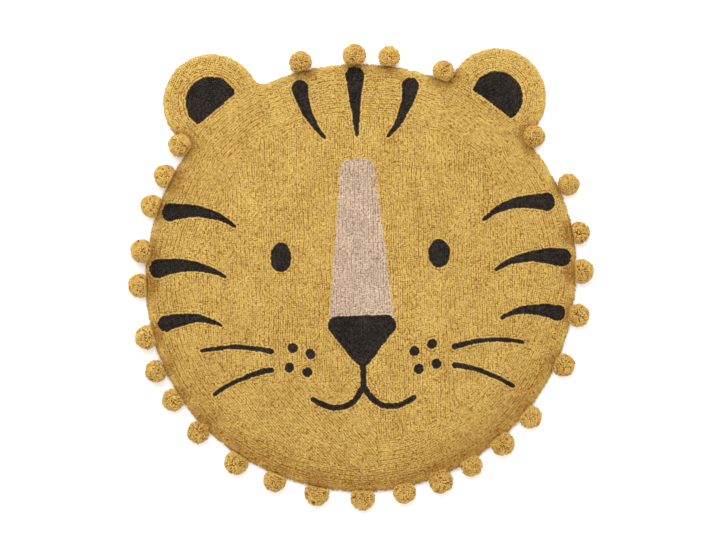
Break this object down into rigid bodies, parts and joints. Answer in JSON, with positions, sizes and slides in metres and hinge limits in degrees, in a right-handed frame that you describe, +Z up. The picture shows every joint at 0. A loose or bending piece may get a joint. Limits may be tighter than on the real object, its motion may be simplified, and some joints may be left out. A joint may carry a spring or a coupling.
{
  "type": "animal shaped kids rug",
  "caption": "Flat tufted floor rug shaped as a round animal's head with round ears, low cotton cut pile, and yarn pom-poms sewn along its edge.",
  "frame": {"origin": "the head's centre on the floor, which is the middle of the bounding box's underside to within about 2 mm", "axes": "+Z up, out of the pile; +Y from the head's centre to its top, between the ears; +X to the right ear's side, seen from above"},
  "size_m": [1.0932, 1.0944, 0.058],
  "materials": {
    "pile_mustard": "low nubby cotton cut pile, matt",
    "pile_charcoal": "low nubby cotton cut pile, matt",
    "pile_rose": "low nubby cotton cut pile, matt",
    "pompom_yarn": "dense cut yarn ball, matt",
    "backing_cloth": "plain woven cotton canvas, matt"
  },
  "bodies": {
    "root": {"rug_body": "pile_mustard", "pompom_01": "pompom_yarn", "pompom_02": "pompom_yarn", "pompom_03": "pompom_yarn", "pompom_04": "pompom_yarn", "pompom_05": "pompom_yarn", "pompom_06": "pompom_yarn", "pompom_07": "pompom_yarn", "pompom_08": "pompom_yarn", "pompom_09": "pompom_yarn", "pompom_10": "pompom_yarn", "pompom_11": "pompom_yarn", "pompom_12": "pompom_yarn", "pompom_13": "pompom_yarn", "pompom_14": "pompom_yarn", "pompom_15": "pompom_yarn", "pompom_16": "pompom_yarn", "pompom_17": "pompom_yarn", "pompom_18": "pompom_yarn", "pompom_19": "pompom_yarn", "pompom_20": "pompom_yarn", "pompom_21": "pompom_yarn", "pompom_22": "pompom_yarn", "pompom_23": "pompom_yarn", "pompom_24": "pompom_yarn", "pompom_25": "pompom_yarn", "pompom_26": "pompom_yarn", "pompom_27": "pompom_yarn", "pompom_28": "pompom_yarn"}
  },
  "joints": []
}
